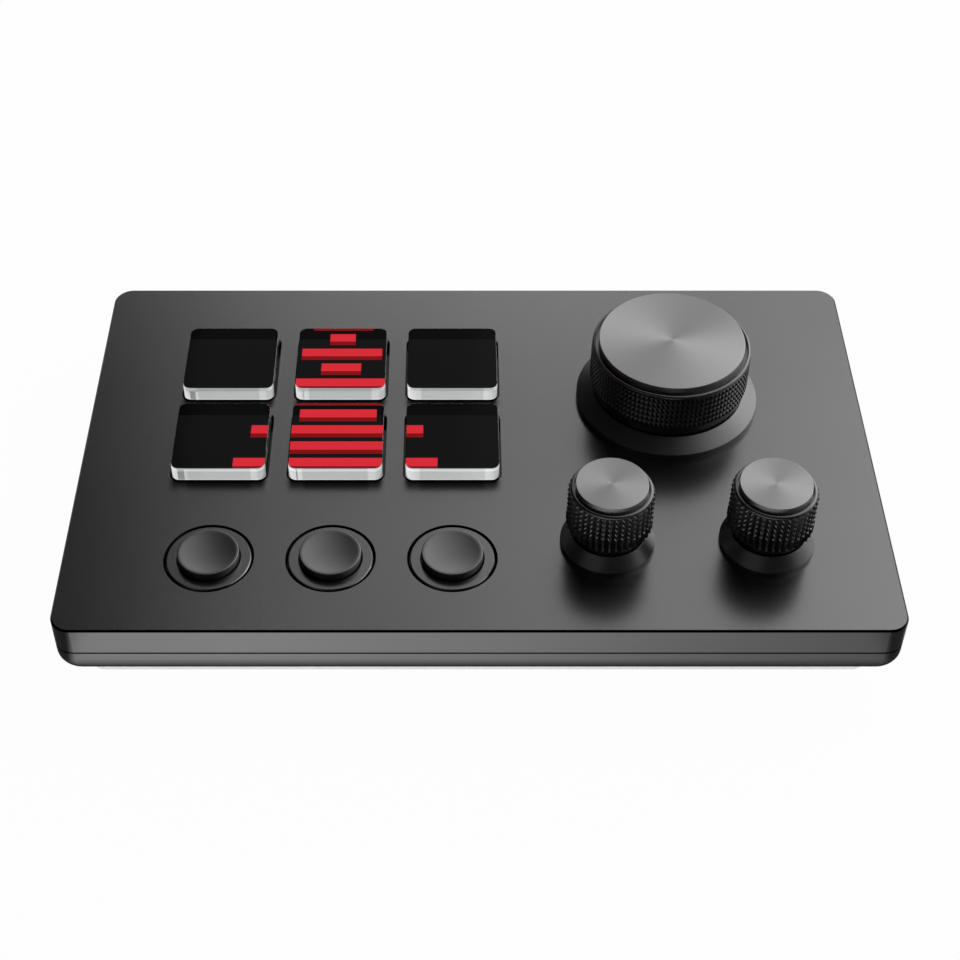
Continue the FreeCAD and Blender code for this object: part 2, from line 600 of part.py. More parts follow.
def drivingKey(body, bottom, height):
    """A flat inside a round bore, so that the flatted shaft turns with the piece."""
    near = "shaftRadius - flatDepth + shaftClearance"
    far = near + " + keyOverlap"
    sketch = newSketch(body, "DrivingKeyOutline", offset=bottom)
    polygon(sketch, [(near, "-keyHalfWidth"), (far, "-keyHalfWidth"), (far, "keyHalfWidth"),
                     (near, "keyHalfWidth")])
    extrude(body, "DrivingKey", sketch, height)


def encoder(label, x, y):
    """Rotary encoder housing: square can on the board with a threaded bushing through the plate."""
    body = newPart(label + "_encoder", x, y, "topHeight")
    chamber = "rotorRadius + rotorGap"
    chamberBase = "-(rotorBaseDrop + rotorGap)"
    chamberTop = "rotorThickness + rotorGap - rotorBaseDrop"
    block(body, "Can", "-boardTopDrop", "encoderHeight", "encoderWidth", "encoderWidth", "encoderCorner")
    pegs(body, "Bushing", "encoderHeight - boardTopDrop", "boardTopDrop - encoderHeight + bushingRise",
         "bushingRadius", [("0", "0")])
    revolve(body, "Chamber", [
        ("0", "encoderFloor - boardTopDrop"), ("shaftBore", "encoderFloor - boardTopDrop"),
        ("shaftBore", chamberBase), (chamber, chamberBase), (chamber, chamberTop),
        ("shaftBore", chamberTop), ("shaftBore", "bushingRise + cutOverrun"),
        ("0", "bushingRise + cutOverrun"),
    ], cut=True)


def rotor(label, x, y):
    """Click wheel inside the encoder, driven by the flat of the shaft."""
    body = newPart(label + "_rotor", x, y, "topHeight - rotorBaseDrop")
    revolve(body, "Wheel", [("shaftBore", "0"), ("rotorRadius", "0"),
                            ("rotorRadius", "rotorThickness"), ("shaftBore", "rotorThickness")])
    drivingKey(body, "0", "rotorThickness")


def shaft(label, x, y):
    """Round shaft with one flat along its whole length."""
    body = newPart(label + "_shaft", x, y, "topHeight")
    pegs(body, "Rod", "-shaftBaseDrop", "shaftTopRise + shaftBaseDrop", "shaftRadius", [("0", "0")])
    sketch = newSketch(body, "FlatOutline", offset="-shaftBaseDrop - cutOverrun")
    near, reach = "shaftRadius - flatDepth", "shaftRadius + cutOverrun"
    polygon(sketch, [(near, "-(%s)" % reach), (reach, "-(%s)" % reach), (reach, reach), (near, reach)])
    extrude(body, "Flat", sketch, "shaftTopRise + shaftBaseDrop + cutOverrun * 2", cut=True)


def nut(label, x, y):
    """Hexagonal nut on the bushing, clamping the collar to the plate."""
    prism = doc.addObject("Part::Prism", "Hexagon_" + label)
    prism.Polygon = 6
    prism.setExpression("Circumradius", sized("nutCorner"))
    prism.setExpression("Height", sized("nutThickness"))
    for axis, expression in zip("xyz", (x, y, "topHeight + collarFloor")):
        prism.setExpression("Placement.Base." + axis, sized(expression))
    thread = cylinderAt("Thread_" + label, x, y, "topHeight + collarFloor - cutOverrun",
                        "nutThickness + cutOverrun * 2", "bushingRadius + threadClearance")
    piece = joined("Cut", "Nut_" + label, prism, thread)
    piece.Label = label + "_nut"
    parts.append(piece)


def collar(label, kind, x, y):
    """Conical collar round the foot of a knob, held down by the nut."""
    body = newPart(label + "_collar", x, y, "topHeight")
    revolve(body, "Collar", [
        ("bushingHole", "0"), (kind + "CollarRadius", "0"), (kind + "CollarRadius", kind + "CollarSide"),
        (kind + "ConeRadius", kind + "ConeTop"), (kind + "CollarBore", kind + "ConeTop"),
        (kind + "CollarBore", "collarFloor"), ("bushingHole", "collarFloor"),
    ])


def knob(label, kind, x, y):
    """Knob body: foot inside the collar, grip band, smooth rim and a seat for the cap."""
    body = newPart(label + "_knob", x, y, "topHeight")
    revolve(body, "Turned", [
        ("0", "boreTopRise"), ("0", "seatRise"), (kind + "SeatRadius", "seatRise"),
        (kind + "SeatRadius", "rimTopRise"), (kind + "RimRadius - rimRounding", "rimTopRise"),
        (kind + "RimRadius", "rimTopRise - rimRounding"), (kind + "RimRadius", "rimBottomRise"),
        (kind + "KnurlRadius", "rimBottomRise"), (kind + "KnurlRadius", kind + "KnurlBase"),
        (kind + "FootRadius", kind + "KnurlBase"), (kind + "FootRadius", "footBaseRise"),
        (kind + "HollowRadius", "footBaseRise"), (kind + "HollowRadius", kind + "HollowTop"),
        ("shaftBore", kind + "HollowTop"), ("shaftBore", "boreTopRise"),
    ])
    drivingKey(body, kind + "HollowTop", "boreTopRise - " + kind + "HollowTop")


def knobCap(label, kind, x, y):
    """Turned disc set into the top of a knob, with a bevelled edge."""
    body = newPart(label + "_knob_cap", x, y, "topHeight")
    revolve(body, "Disc", [
        ("0", "seatRise"), (kind + "DiscRadius", "seatRise"),
        (kind + "DiscRadius", "knobHeight - discChamfer"),
        (kind + "DiscRadius - discChamfer", "knobHeight"), ("0", "knobHeight"),
    ])


def usbSocket():
    """Metal socket on the board behind the rear opening, with the contact tongue inside."""
    body = newPart("usb_socket", "socketX", "bodyDepth / 2 - socketRecess", "boardTop")
    middle = "socketHeight / 2"
    shell = newSketch(body, "ShellOutline", "XZ_Plane")
    roundedRectangle(shell, "socketWidth", "socketHeight", "socketCorner", "0", middle)
    extrude(body, "Shell", shell, "socketLength")
    mouth = newSketch(body, "MouthOutline", "XZ_Plane", "-cutOverrun")
    roundedRectangle(mouth, "socketWidth - socketWall * 2", "socketHeight - socketWall * 2",
                     "socketCorner - socketWall", "0", middle)
    extrude(body, "Mouth", mouth, "socketLength - socketBack + cutOverrun", cut=True)
    tongue = newSketch(body, "TongueOutline", "XZ_Plane", "socketWall")
    roundedRectangle(tongue, "socketTongueWidth", "socketTongueThickness", "socketWall", "0", middle)
    extrude(body, "Tongue", tongue, "socketLength - socketWall")


def chip(label, x, y, width, depth, height):
    """A flat packaged component on the board."""
    piece = doc.addObject("Part::Box", "Box_" + label)
    piece.Label = label
    for name, expression in (("Length", width), ("Width", depth), ("Height", height)):
        piece.setExpression(name, sized(expression))
    corner = ("%s - %s / 2" % (x, width), "%s - %s / 2" % (y, depth), "boardTop")
    for axis, expression in zip("xyz", corner):
        piece.setExpression("Placement.Base." + axis, sized(expression))
    parts.append(piece)


def buildAll():
    topShell()
    bottomShell()
    basePad()
    screwGroup("case_screws", bossPlaces, seat="caseHeadTop", length="caseScrewLength",
               radius="caseScrewRadius", headRadius="caseHeadRadius", headHeight="caseHeadHeight",
               headUp=False)
    mainBoard()
    screwGroup("board_screws", postPlaces, seat="boardTop", length="boardScrewLength",
               radius="boardScrewRadius", headRadius="boardHeadRadius",
               headHeight="boardHeadHeight", headUp=True)
    displayFrame()
    displayPanel()
    keyMembrane()
    for number, (x, y) in enumerate(keyPlaces, 1):
        displayKey(number, x, y)
        keySpring(number, x, y)
    for number, x in enumerate(columnX, 1):
        buttonRing(number, x)
        roundButton(number, x)
        buttonSwitch(number, x)
        switchPlunger(number, x)
    for label, (kind, x, y) in knobs.items():
        encoder(label, x, y)
        rotor(label, x, y)
        shaft(label, x, y)
        nut(label, x, y)
        collar(label, kind, x, y)
        knob(label, kind, x, y)
        knobCap(label, kind, x, y)
    usbSocket()
    chip("controller_chip", "chipX", "chipY", "chipWidth", "chipWidth", "chipHeight")
    chip("display_connector", "displayX", "connectorY", "connectorWidth", "connectorDepth",
         "connectorHeight")


buildAll()
doc.recompute()

faults = [item.Name for item in doc.Objects if "Invalid" in item.State or "Error" in item.State]
faults += [piece.Label for piece in parts if piece.Shape.isNull() or not piece.Shape.isValid()]
if faults:
    raise RuntimeError("failed: " + ", ".join(faults))

os.makedirs("parts", exist_ok=True)
for piece in parts:
    piece.Shape.exportStep("parts/%s.step" % piece.Label)
    print(piece.Label, "solids", len(piece.Shape.Solids), "volume", round(piece.Shape.Volume, 2))
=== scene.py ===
import math

import bmesh
import bpy
import numpy as np
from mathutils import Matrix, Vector


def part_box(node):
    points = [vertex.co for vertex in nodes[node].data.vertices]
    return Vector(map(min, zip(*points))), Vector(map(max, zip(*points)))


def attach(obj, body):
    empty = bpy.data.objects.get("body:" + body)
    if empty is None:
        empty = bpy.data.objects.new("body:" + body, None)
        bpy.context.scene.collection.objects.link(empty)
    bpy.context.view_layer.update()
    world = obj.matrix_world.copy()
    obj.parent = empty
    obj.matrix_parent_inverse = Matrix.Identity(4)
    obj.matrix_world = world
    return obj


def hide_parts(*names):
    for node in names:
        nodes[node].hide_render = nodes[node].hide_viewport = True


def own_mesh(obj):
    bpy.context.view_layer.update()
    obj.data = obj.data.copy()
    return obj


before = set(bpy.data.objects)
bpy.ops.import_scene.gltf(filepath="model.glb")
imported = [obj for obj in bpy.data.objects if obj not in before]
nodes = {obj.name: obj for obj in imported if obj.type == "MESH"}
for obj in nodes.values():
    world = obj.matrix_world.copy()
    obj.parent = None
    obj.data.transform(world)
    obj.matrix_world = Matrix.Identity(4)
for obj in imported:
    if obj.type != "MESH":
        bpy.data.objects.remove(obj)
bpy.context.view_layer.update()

scene = bpy.context.scene
mm = 0.001
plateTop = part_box("top_shell")[1].z
kinds = ("large", "small_left", "small_right")
print("frame loaded with", len(nodes), "nodes")


# ---- shapes: sections in millimetres, carried round an axis or an outline

# Rounds the corners of a section given as (across, up, rounding). Each arc touches both runs of
# its corner and turns evenly about its own centre. A helper point just outside both of its ends
# keeps the flats beside it flat.
def roundedSection(corners, steps=5, helper=0.04):
    corners = np.array(corners, float)
    point, rounding = corners[:, :2], corners[:, 2:]

    def unit(vectors):
        return vectors / np.maximum(np.linalg.norm(vectors, axis=1, keepdims=True), 1e-9)

    back = unit(np.roll(point, 1, axis=0) - point)
    ahead = unit(np.roll(point, -1, axis=0) - point)
    half = np.arccos(np.clip((back * ahead).sum(1, keepdims=True), -1, 1)) / 2
    centre = point + unit(back + ahead) * rounding / np.maximum(np.sin(half), 1e-9)
    cut = rounding / np.maximum(np.tan(half), 1e-9)
    turn = np.maximum(math.pi - 2 * half, 1e-6)[:, None]
    share = np.linspace(0, 1, steps + 1)[None, :, None]
    leave = (point + back * cut - centre)[:, None]
    arrive = (point + ahead * cut - centre)[:, None]
    arc = np.sin((1 - share) * turn) * leave + np.sin(share * turn) * arrive
    arc = centre[:, None] + arc / np.sin(turn)
    reach = np.where(rounding > 0, cut + helper, 0)
    section = np.concatenate([(point + back * reach)[:, None], arc, (point + ahead * reach)[:, None]], 1)
    section = section.reshape(-1, 2)
    step = np.linalg.norm(np.diff(section, axis=0), axis=1)
    return section[np.append(True, step > 1e-6)]


# Turns a section about an upright axis: x = middle + r cos a, y = middle + r sin a, z = middle + up,
# one row for each point of the section and one column for each angle a.
def turned(section, middle, columns, relief=0):
    angle = np.arange(columns) * 2 * math.pi / columns
    across, up = section[:, :1] - relief, section[:, 1:]
    return np.stack([middle[0] + across * np.cos(angle), middle[1] + across * np.sin(angle),
                     middle[2] + up + 0 * across * angle], -1)


# Carries a section round a rounded rectangle: the corner centres stay put and the corner radius
# grows by the section's reach, so x = ±(width/2 - corner) + (corner + reach) cos a. The first and
# last rows shrink to the middle, which closes the bottom and the top.
def wrapped(section, middle, width, depth, corner, steps=7, helper=0.04):
    turn = np.concatenate([[0], np.linspace(0, math.pi / 2, steps), [math.pi / 2]])
    slide = np.concatenate([[-helper], np.zeros(steps), [helper]])
    angle = (np.arange(4)[:, None] * math.pi / 2 + turn).ravel()
    slide = np.tile(slide, 4)
    sideX = np.repeat([1, -1, -1, 1], steps + 2) * (width / 2 - corner)
    sideY = np.repeat([1, 1, -1, -1], steps + 2) * (depth / 2 - corner)
    radius, up = section[:, :1] + corner, section[:, 1:]
    x = middle[0] + sideX + radius * np.cos(angle) - slide * np.sin(angle)
    y = middle[1] + sideY + radius * np.sin(angle) + slide * np.cos(angle)
    points = np.stack([x, y, middle[2] + up + 0 * x], -1)
    hub = np.array([middle[0], middle[1], 0])
    ends = points[[0, -1]] * [0, 0, 1] + hub
    return np.concatenate([ends[:1], points, ends[1:]])


# Joins a grid of points into a skin. Columns close round, rows close too for a ring, and split
# chooses the diagonal of each quad where the surface creases.
def skin(name, points, ring=False, split=None, sharp=32):
    rows, columns = points.shape[:2]
    row = np.arange(rows if ring else rows - 1)[:, None]
    column = np.arange(columns)[None, :]
    here, over = row * columns, (row + 1) % rows * columns
    aside = (column + 1) % columns
    a, b, c, d = here + column, here + aside, over + aside, over + column
    if split is None:
        faces = np.stack([a, b, c, d], -1).reshape(-1, 4)
    else:
        faces = np.where(split[..., None], np.stack([a, b, c, a, c, d], -1),
                         np.stack([a, b, d, b, c, d], -1)).reshape(-1, 3)
    mesh = bpy.data.meshes.new(name)
    mesh.from_pydata((points.reshape(-1, 3) * mm).tolist(), [], faces.tolist())
    welded = bmesh.new()
    welded.from_mesh(mesh)
    bmesh.ops.remove_doubles(welded, verts=welded.verts, dist=1e-7)
    welded.to_mesh(mesh)
    welded.free()
    mesh.shade_smooth()
    mesh.set_sharp_from_angle(angle=math.radians(sharp))
    return mesh


# Puts a skin in the scene as the finished form of one CAD node.
def dress(node, mesh, finish, body):
    piece = bpy.data.objects.new(mesh.name, mesh)
    scene.collection.objects.link(piece)
    mesh.materials.append(finish)
    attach(piece, body)
    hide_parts(node)
    return piece


# Middle of a node in plan, at the height of the plate's outer face, in millimetres.
def middleOf(node):
    low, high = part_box(node)
    return np.array([(low.x + high.x) / 2, (low.y + high.y) / 2, plateTop]) / mm


# ---- finishes

# One value of a material in the making. Sums and products of it add Math nodes.
class Field:
    def __init__(self, finish, socket):
        self.finish = finish
        self.socket = socket

    def maths(self, operation, *values):
        return self.finish.node("ShaderNodeMath", {"operation": operation}, dict(enumerate(values)))

    def __add__(self, other):
        return self.maths("ADD", self, other)

    __radd__ = __add__

    def __sub__(self, other):
        return self.maths("SUBTRACT", self, other)

    def __rsub__(self, other):
        return self.maths("SUBTRACT", other, self)

    def __mul__(self, other):
        return self.maths("MULTIPLY", self, other)

    __rmul__ = __mul__

    def __truediv__(self, other):
        return self.maths("DIVIDE", self, other)

    def __rtruediv__(self, other):
        return self.maths("DIVIDE", other, self)

    def __pow__(self, other):
        return self.maths("POWER", self, other)

    def __abs__(self):
        return self.maths("ABSOLUTE", self)

    def sine(self):
        return self.maths("SINE", self)

    def whole(self):
        return self.maths("FLOOR", self)

    def least(self, other):
        return self.maths("MINIMUM", self, other)

    def most(self, other):
        return self.maths("MAXIMUM", self, other)

    # The place of the nearest of some repeats, the first of which is at 0.
    def nearest(self, pitch, count):
        return (self / pitch + 0.5).whole().most(0.0).least(count - 1.0) * pitch

    def rise(self, low, high):
        return self.finish.node("ShaderNodeMapRange", {"interpolation_type": "SMOOTHSTEP"},
                                {0: self, 1: low, 2: high, 3: 0.0, 4: 1.0})


# A material or the world in the making: node() takes a node's type, its settings, and its sockets'
# values or links.
class Finish:
    def __init__(self, name, world=None):
        self.made = world or bpy.data.materials.new(name)
        self.sink = "ShaderNodeOutputWorld" if world else "ShaderNodeOutputMaterial"
        self.made.use_nodes = True
        self.tree = self.made.node_tree
        self.tree.nodes.clear()

    def node(self, kind, settings=None, sockets=None, output=0):
        made = self.tree.nodes.new(kind)
        for key, setting in (settings or {}).items():
            if key == "stops":
                ramp = made.color_ramp
                while len(ramp.elements) < len(setting):
                    ramp.elements.new(1)
                for element, (place, level) in zip(ramp.elements, setting):
                    element.position = place
                    element.color = (level, level, level, 1)
            elif key == "ramp":
                made.color_ramp.interpolation = setting
            else:
                setattr(made, key, setting)
        for key, given in (sockets or {}).items():
            if isinstance(given, Field):
                self.tree.links.new(given.socket, made.inputs[key])
            else:
                made.inputs[key].default_value = given
        return Field(self, made.outputs[output]) if made.outputs else None

    def parts(self, field, keys):
        return [Field(self, field.socket.node.outputs[key]) for key in keys]

    def place(self):
        return self.node("ShaderNodeTexCoord", output=3)

    def axes(self, vector):
        return self.parts(self.node("ShaderNodeSeparateXYZ", sockets={0: vector}), range(3))

    def moved(self, vector, location=(0, 0, 0), scale=(1, 1, 1)):
        return self.node("ShaderNodeMapping",
                         sockets={"Vector": vector, "Location": location, "Scale": scale})

    def noise(self, vector, scale, detail=2.0, roughness=0.5):
        return self.node("ShaderNodeTexNoise", sockets={"Vector": vector, "Scale": scale,
                                                        "Detail": detail, "Roughness": roughness})

    def blend(self, factor, first, second):
        first, second = [(*c, 1) if isinstance(c, tuple) else c for c in (first, second)]
        return self.node("ShaderNodeMix", {"data_type": "RGBA"}, {0: factor, 6: first, 7: second},
                         output=2)

    def bump(self, height, distance):
        return self.node("ShaderNodeBump", sockets={"Height": height, "Distance": distance})

    def surface(self, **sockets):
        named = {key.replace("_", " "): (*given, 1) if isinstance(given, tuple) else given
                 for key, given in sockets.items()}
        return self.close(self.node("ShaderNodeBsdfPrincipled", sockets=named))

    def close(self, shader):
        self.node(self.sink, sockets={"Surface": shader})
        return self.made


# Lightens or darkens a colour: each of its three levels times the share.
def tint(colour, share):
    return tuple(level * share for level in colour)


keyGrid = {"columnPitch": 19.0, "columns": 3, "rowPitch": 19.2, "rows": 2}
none = (0.0, 0.0, 0.0)


# How far a place lies across from the middle of the nearest key, and how far towards its front.
def fromKey(x, y):
    firstX, firstY, _ = middleOf("display_key_1")
    across, along = x - firstX, firstY - y
    return (across - across.nearest(keyGrid["columnPitch"], keyGrid["columns"]),
            along - along.nearest(keyGrid["rowPitch"], keyGrid["rows"]))


coating = {
    "cloud": 22.0, "speck": 0.22,          # scale of the cloud, size of the grain
    "shade": (0.004, 0.004, 0.004), "seamSoft": 0.02,
}
# Where painted shade darkens the plate's coat.
plateShade = {
    "ringFrom": 6.7, "ringTo": 7.0,        # the well bevels, as radii about a button's middle
    "ringSoft": (0.01, 0.03),
    "bevel": 0.32, "bevelSoft": 0.02,      # height of the bevel at the plate's edges
    "bevelTop": (0.004, 0.02),             # how far below the top it begins
    "frontFrom": 7.7, "frontTo": 11.3,     # before a key, from its middle
    "frontSoft": 0.1, "halfWidth": 7.6, "sideSoft": 0.8,
}


# Shares of painted shade in the plate's coat: all of it on the edge bevel and where the distance to
# the nearest button's middle lies between the ring's radii, and a painted shadow that lessens with the
# distance before the nearest key, where that across from it is within half a width.
def paintedPlateShade(x, y, z, dark):
    firstX, rowY, top = middleOf("round_button_1")
    across, along = x - firstX, y - rowY
    across = across - across.nearest(keyGrid["columnPitch"], keyGrid["columns"])
    radius = (across * across + along * along) ** 0.5
    inner, outer = dark["ringSoft"]
    # Painted shade in the well bevel round each button.
    ring = (radius.rise(dark["ringFrom"] - inner, dark["ringFrom"] + inner)
            * (1 - radius.rise(dark["ringTo"] - outer, dark["ringTo"] + outer)))
    # Painted shade on the bevel at the plate's edges.
    bevel = (z - top).rise(-dark["bevel"], dark["bevelSoft"] - dark["bevel"])
    bevel = bevel * (top - z).rise(*dark["bevelTop"])
    # Painted shadow before each key.
    across, along = fromKey(x, y)
    begin = dark["frontFrom"] + dark["frontSoft"]
    front = (1 - along.rise(begin, dark["frontTo"])) * along.rise(dark["frontFrom"], begin)
    front = front * (1 - abs(across).rise(dark["halfWidth"] - dark["sideSoft"],
                                          dark["halfWidth"] + dark["sideSoft"]))
    return ring.most(bevel), front


# Coated metal: a soft cloud in the tone, a finer one in the gloss, and the coat's fine grain. The
# tongue above the seam height is painted dark, a painted shade that shows through the parting gap.
def coatedMetal(name, colour, roughness, grain=0.012, shadeAbove=None, dark=None):
    finish = Finish(name)
    place = finish.place()
    cloud = finish.noise(place, coating["cloud"], 3.0)
    speck = finish.noise(place, 1 / (coating["speck"] * mm), 2.0, 0.6)
    tone = (cloud * 0.7 + speck * 0.3).rise(0.25, 0.75)
    gloss = roughness - 0.03 + 0.04 * cloud + 0.02 * speck
    coat = finish.blend(tone, tint(colour, 0.94), tint(colour, 1.05))
    x, y, z = [axis / mm for axis in finish.axes(place)]
    # Painted shade: the tongue above this height is dark, as the parting gap lies in shade.
    if shadeAbove:
        coat = finish.blend(z.rise(shadeAbove, shadeAbove + coating["seamSoft"]), coat, coating["shade"])
    # Painted shade on the plate: well bevels, edge bevel, and the shadows before the keys.
    if dark:
        for share in paintedPlateShade(x, y, z, dark):
            coat = finish.blend(share, coat, coating["shade"])
    return finish.surface(Base_Color=coat, Metallic=1.0, Roughness=gloss,
                          Normal=finish.bump(speck, grain * mm))


# Spun metal: fine rings about the disc's middle in its height, tone and gloss.
def spunMetal(name, middle, colour, roughness, pitch):
    finish = Finish(name)
    place = finish.moved(finish.place(), location=tuple(-middle * mm))
    x, y, z = finish.axes(place)
    radius = (x * x + y * y) ** 0.5
    rings = (radius * (2 * math.pi / (pitch * mm))).sine() * 0.5 + 0.5
    fine = finish.noise(finish.node("ShaderNodeCombineXYZ", sockets={0: radius}), 5200.0, 2.0)
    wave = rings * 0.6 + fine * 0.8
    tone = finish.blend(wave.rise(0.2, 1.2), tint(colour, 0.9), tint(colour, 1.08))
    return finish.surface(Base_Color=tone, Metallic=1.0, Roughness=roughness + 0.05 * fine,
                          Anisotropic=0.68, Anisotropic_Rotation=0.25,
                          Normal=finish.bump(wave, 0.006 * mm))


# Moulded or rubbery stuff: mottled tone with a matt grain.
def moulded(name, colour, roughness):
    finish = Finish(name)
    place = finish.place()
    speck = finish.noise(place, 2500.0, 3.0, 0.6)
    cloud = finish.noise(place, 60.0, 2.0)
    tone = finish.blend((cloud * 0.5 + speck * 0.5).rise(0.2, 0.8), tint(colour, 0.9),
                        tint(colour, 1.08))
    return finish.surface(Base_Color=tone, Roughness=roughness - 0.04 + 0.08 * speck,
                          Specular_IOR_Level=0.4, Normal=finish.bump(speck, 0.02 * mm))


# Pale milky silicone: nearly clear, so that it takes the brightness of what it stands on.
def milkySilicone(name, colour):
    finish = Finish(name)
    speck = finish.noise(finish.place(), 900.0, 3.0, 0.6)
    tone = finish.blend(speck.rise(0.2, 0.8), tint(colour, 0.96), tint(colour, 1.03))
    return finish.surface(Base_Color=tone, Roughness=0.45 + 0.1 * speck, IOR=1.03,
                          Transmission_Weight=0.9, Normal=finish.bump(speck, 0.01 * mm))


# Plated or bare turned metal: noise drawn out into streaks by squeezing the upright axis.
def drawnMetal(name, colour, roughness):
    finish = Finish(name)
    lines = finish.noise(finish.moved(finish.place(), scale=(1, 1, 0.05)), 4000.0, 2.0)
    tone = finish.blend(lines, tint(colour, 0.85), tint(colour, 1.1))
    return finish.surface(Base_Color=tone, Metallic=1.0, Roughness=roughness + 0.1 * lines,
                          Normal=finish.bump(lines, 0.004 * mm))


# Circuit board: solder resist with faint square-laid tracks.
def laminate(name, colour):
    finish = Finish(name)
    x, y, z = finish.axes(finish.place())
    across = (x * 1400.0).sine() * 0.5 + 0.5
    along = (y * 1400.0).sine() * 0.5 + 0.5
    patch = finish.noise(finish.place(), 120.0, 1.0).rise(0.48, 0.52)
    tracks = (across * patch + along * (1 - patch)).rise(0.55, 0.7)
    return finish.surface(Base_Color=finish.blend(tracks, colour, tint(colour, 1.9)),
                          Roughness=0.35 + 0.1 * tracks, Normal=finish.bump(tracks, 0.02 * mm))


displayArt = {
    "pitch": 3.84,          # from one bar to the next, front to back
    "bar": 2.05,            # thickness of a bar
    "barFrom": 0.1,         # its front edge, from the front of its share of the pitch
    "edge": 0.07,           # softness of a bar's edge
    # The dim copy of the bars is a painted reflection, shifted this far towards the front.
    "reflectionShift": 0.95,           # how far the dim copy lies towards the front
    "firstBar": -7.9,       # front of the lowest bar
    "halfLengths": [16.6, 9.2, 14.2, 6.4, 12.0, 7.9, 3.4, 6.9, 2.2, 5.2],
    "longest": 20,
    "red": (0.76, 0.026, 0.042),
    # Colour of the painted reflection.
    "reflectionRed": (0.25, 0.004, 0.006),
    # The deeper black along each key's far edge is a painted shade.
    "black": (0.0095, 0.0095, 0.0098), "deep": 0.1,    # the black, and its share in the far band
    "farShadeBand": 3.0, "bandSoft": 0.1,
    "level": 0.42,          # glow of the picture, above what the light on it gives
    "panelLevel": 0.03,     # the panel itself, which only tints the light under the keys
}
keyBlock = {
    "width": 15.3, "depth": 15.65, "corner": 1.3,
    "bottom": -3.0, "flangeBottom": -2.5, "flangeTop": -1.7, "flangeReach": 1.0,
    "top": 2.6, "topEdge": 0.1, "bottomEdge": 0.12, "flangeEdge": 0.1,
    "tint": (0.25, 0.255, 0.255), "clearFrom": (0.02, 0.08),
    "glowColour": (0.9, 0.92, 0.93),
    # Painted glow on the key's front: all over, and more at the foot, the top and the corners.
    "paintedGlow": 0.14, "footGlow": 0.15, "topGlow": 0.2, "cornerGlow": 0.14,    # all over, and more at
    "footTo": (0.24, 0.32), "topFrom": (1.9, 2.1), "cornerFrom": (-2.6, -2.1),
    "frontFrom": (-0.2, 0.5),
}


# The display's picture: level bars of unlike lengths about the middle column. A bar is where the
# place across is less than that row's half length and the place along is within the bar. The key
# faces carry it brighter, over a black that is deeper along the far edge of each key, a painted shade.
# A dim copy of the bars, shifted towards the front, is a painted reflection. The picture glows outwards
# only.
def displayPicture(name, art, key=None):
    finish = Finish(name)
    x, y = [axis / mm for axis in finish.axes(finish.place())[:2]]
    middle = middleOf("display_panel")[0]
    count, longest = len(art["halfLengths"]), art["longest"]
    stops = [(index / count, length / longest) for index, length in enumerate(art["halfLengths"])]
    soft, barFrom = art["edge"], art["barFrom"]

    def bars(along):
        row = (along / art["pitch"]).whole()
        length = finish.node("ShaderNodeValToRGB", {"ramp": "CONSTANT", "stops": stops},
                             {0: row / count + 0.5 / count})
        within = along - row * art["pitch"]
        side = 1 - (abs(x - middle) - length * longest).rise(-soft, soft)
        front = (within.rise(barFrom - soft, barFrom + soft)
                 * (1 - within.rise(art["bar"] - soft, art["bar"] + soft)))
        return side * front * along.rise(-soft, soft)

    bright = bars(y - art["firstBar"])
    # Painted reflection: a dim copy of the bars shifted towards the front.
    reflectedBars = bars(y - art["firstBar"] + art["reflectionShift"])
    colour = finish.blend(bright, finish.blend(reflectedBars, none, art["reflectionRed"]), art["red"])
    tone, deep = art["black"], tint(art["black"], art["deep"])
    if key:
        along = fromKey(x, y)[1]
        # Painted shade: deeper black along the key's far edge.
        farShade = (art["farShadeBand"] - key["depth"] / 2 - along).rise(-art["bandSoft"], art["bandSoft"])
        tone = finish.blend(reflectedBars, finish.blend(farShade, tone, deep), art["reflectionRed"])
        tone = finish.blend(bright, tone, art["red"])
    inside = finish.node("ShaderNodeNewGeometry", output=6)
    return finish.surface(Base_Color=finish.blend(inside, tone, deep), Roughness=0.08,
                          Specular_IOR_Level=0.05, Emission_Color=finish.blend(inside, colour, none),
                          Emission_Strength=art["level"] if key else art["panelLevel"])


# Clear block: polished, with the faintest moulding waves, and black below the plate as painted shade.
# Its front carries a painted glow, with painted highlights along the foot and the top and by the
# corners. The front is where the place lies farther before the block's middle than its flat sides reach.
def clearBlock(name, key):
    finish = Finish(name)
    place = finish.place()
    waves = finish.noise(place, 180.0, 1.0)
    x, y, z = [axis / mm for axis in finish.axes(place)]
    across, along = fromKey(x, y)
    up = z - middleOf("display_key_1")[2]
    # Painted shade: black below the plate.
    above = up.rise(*key["clearFrom"])
    rim = (1 - up.rise(*key["footTo"])) * key["footGlow"] + up.rise(*key["topFrom"]) * key["topGlow"]
    side = (abs(across) - key["width"] / 2).rise(*key["cornerFrom"]) * key["cornerGlow"]
    front = (along - key["depth"] / 2 + key["corner"]).rise(*key["frontFrom"])
    # Painted glow, with painted highlights along the foot, the top and the corners.
    paintedGlow = above * front * (rim + side + key["paintedGlow"])
    return finish.surface(Base_Color=finish.blend(above, none, key["tint"]),
                          Roughness=0.05 + 0.04 * waves, IOR=1.47, Transmission_Weight=1.0,
                          Emission_Color=finish.blend(paintedGlow, none, key["glowColour"]),
                          Emission_Strength=1.0, Normal=finish.bump(waves, 0.002 * mm))


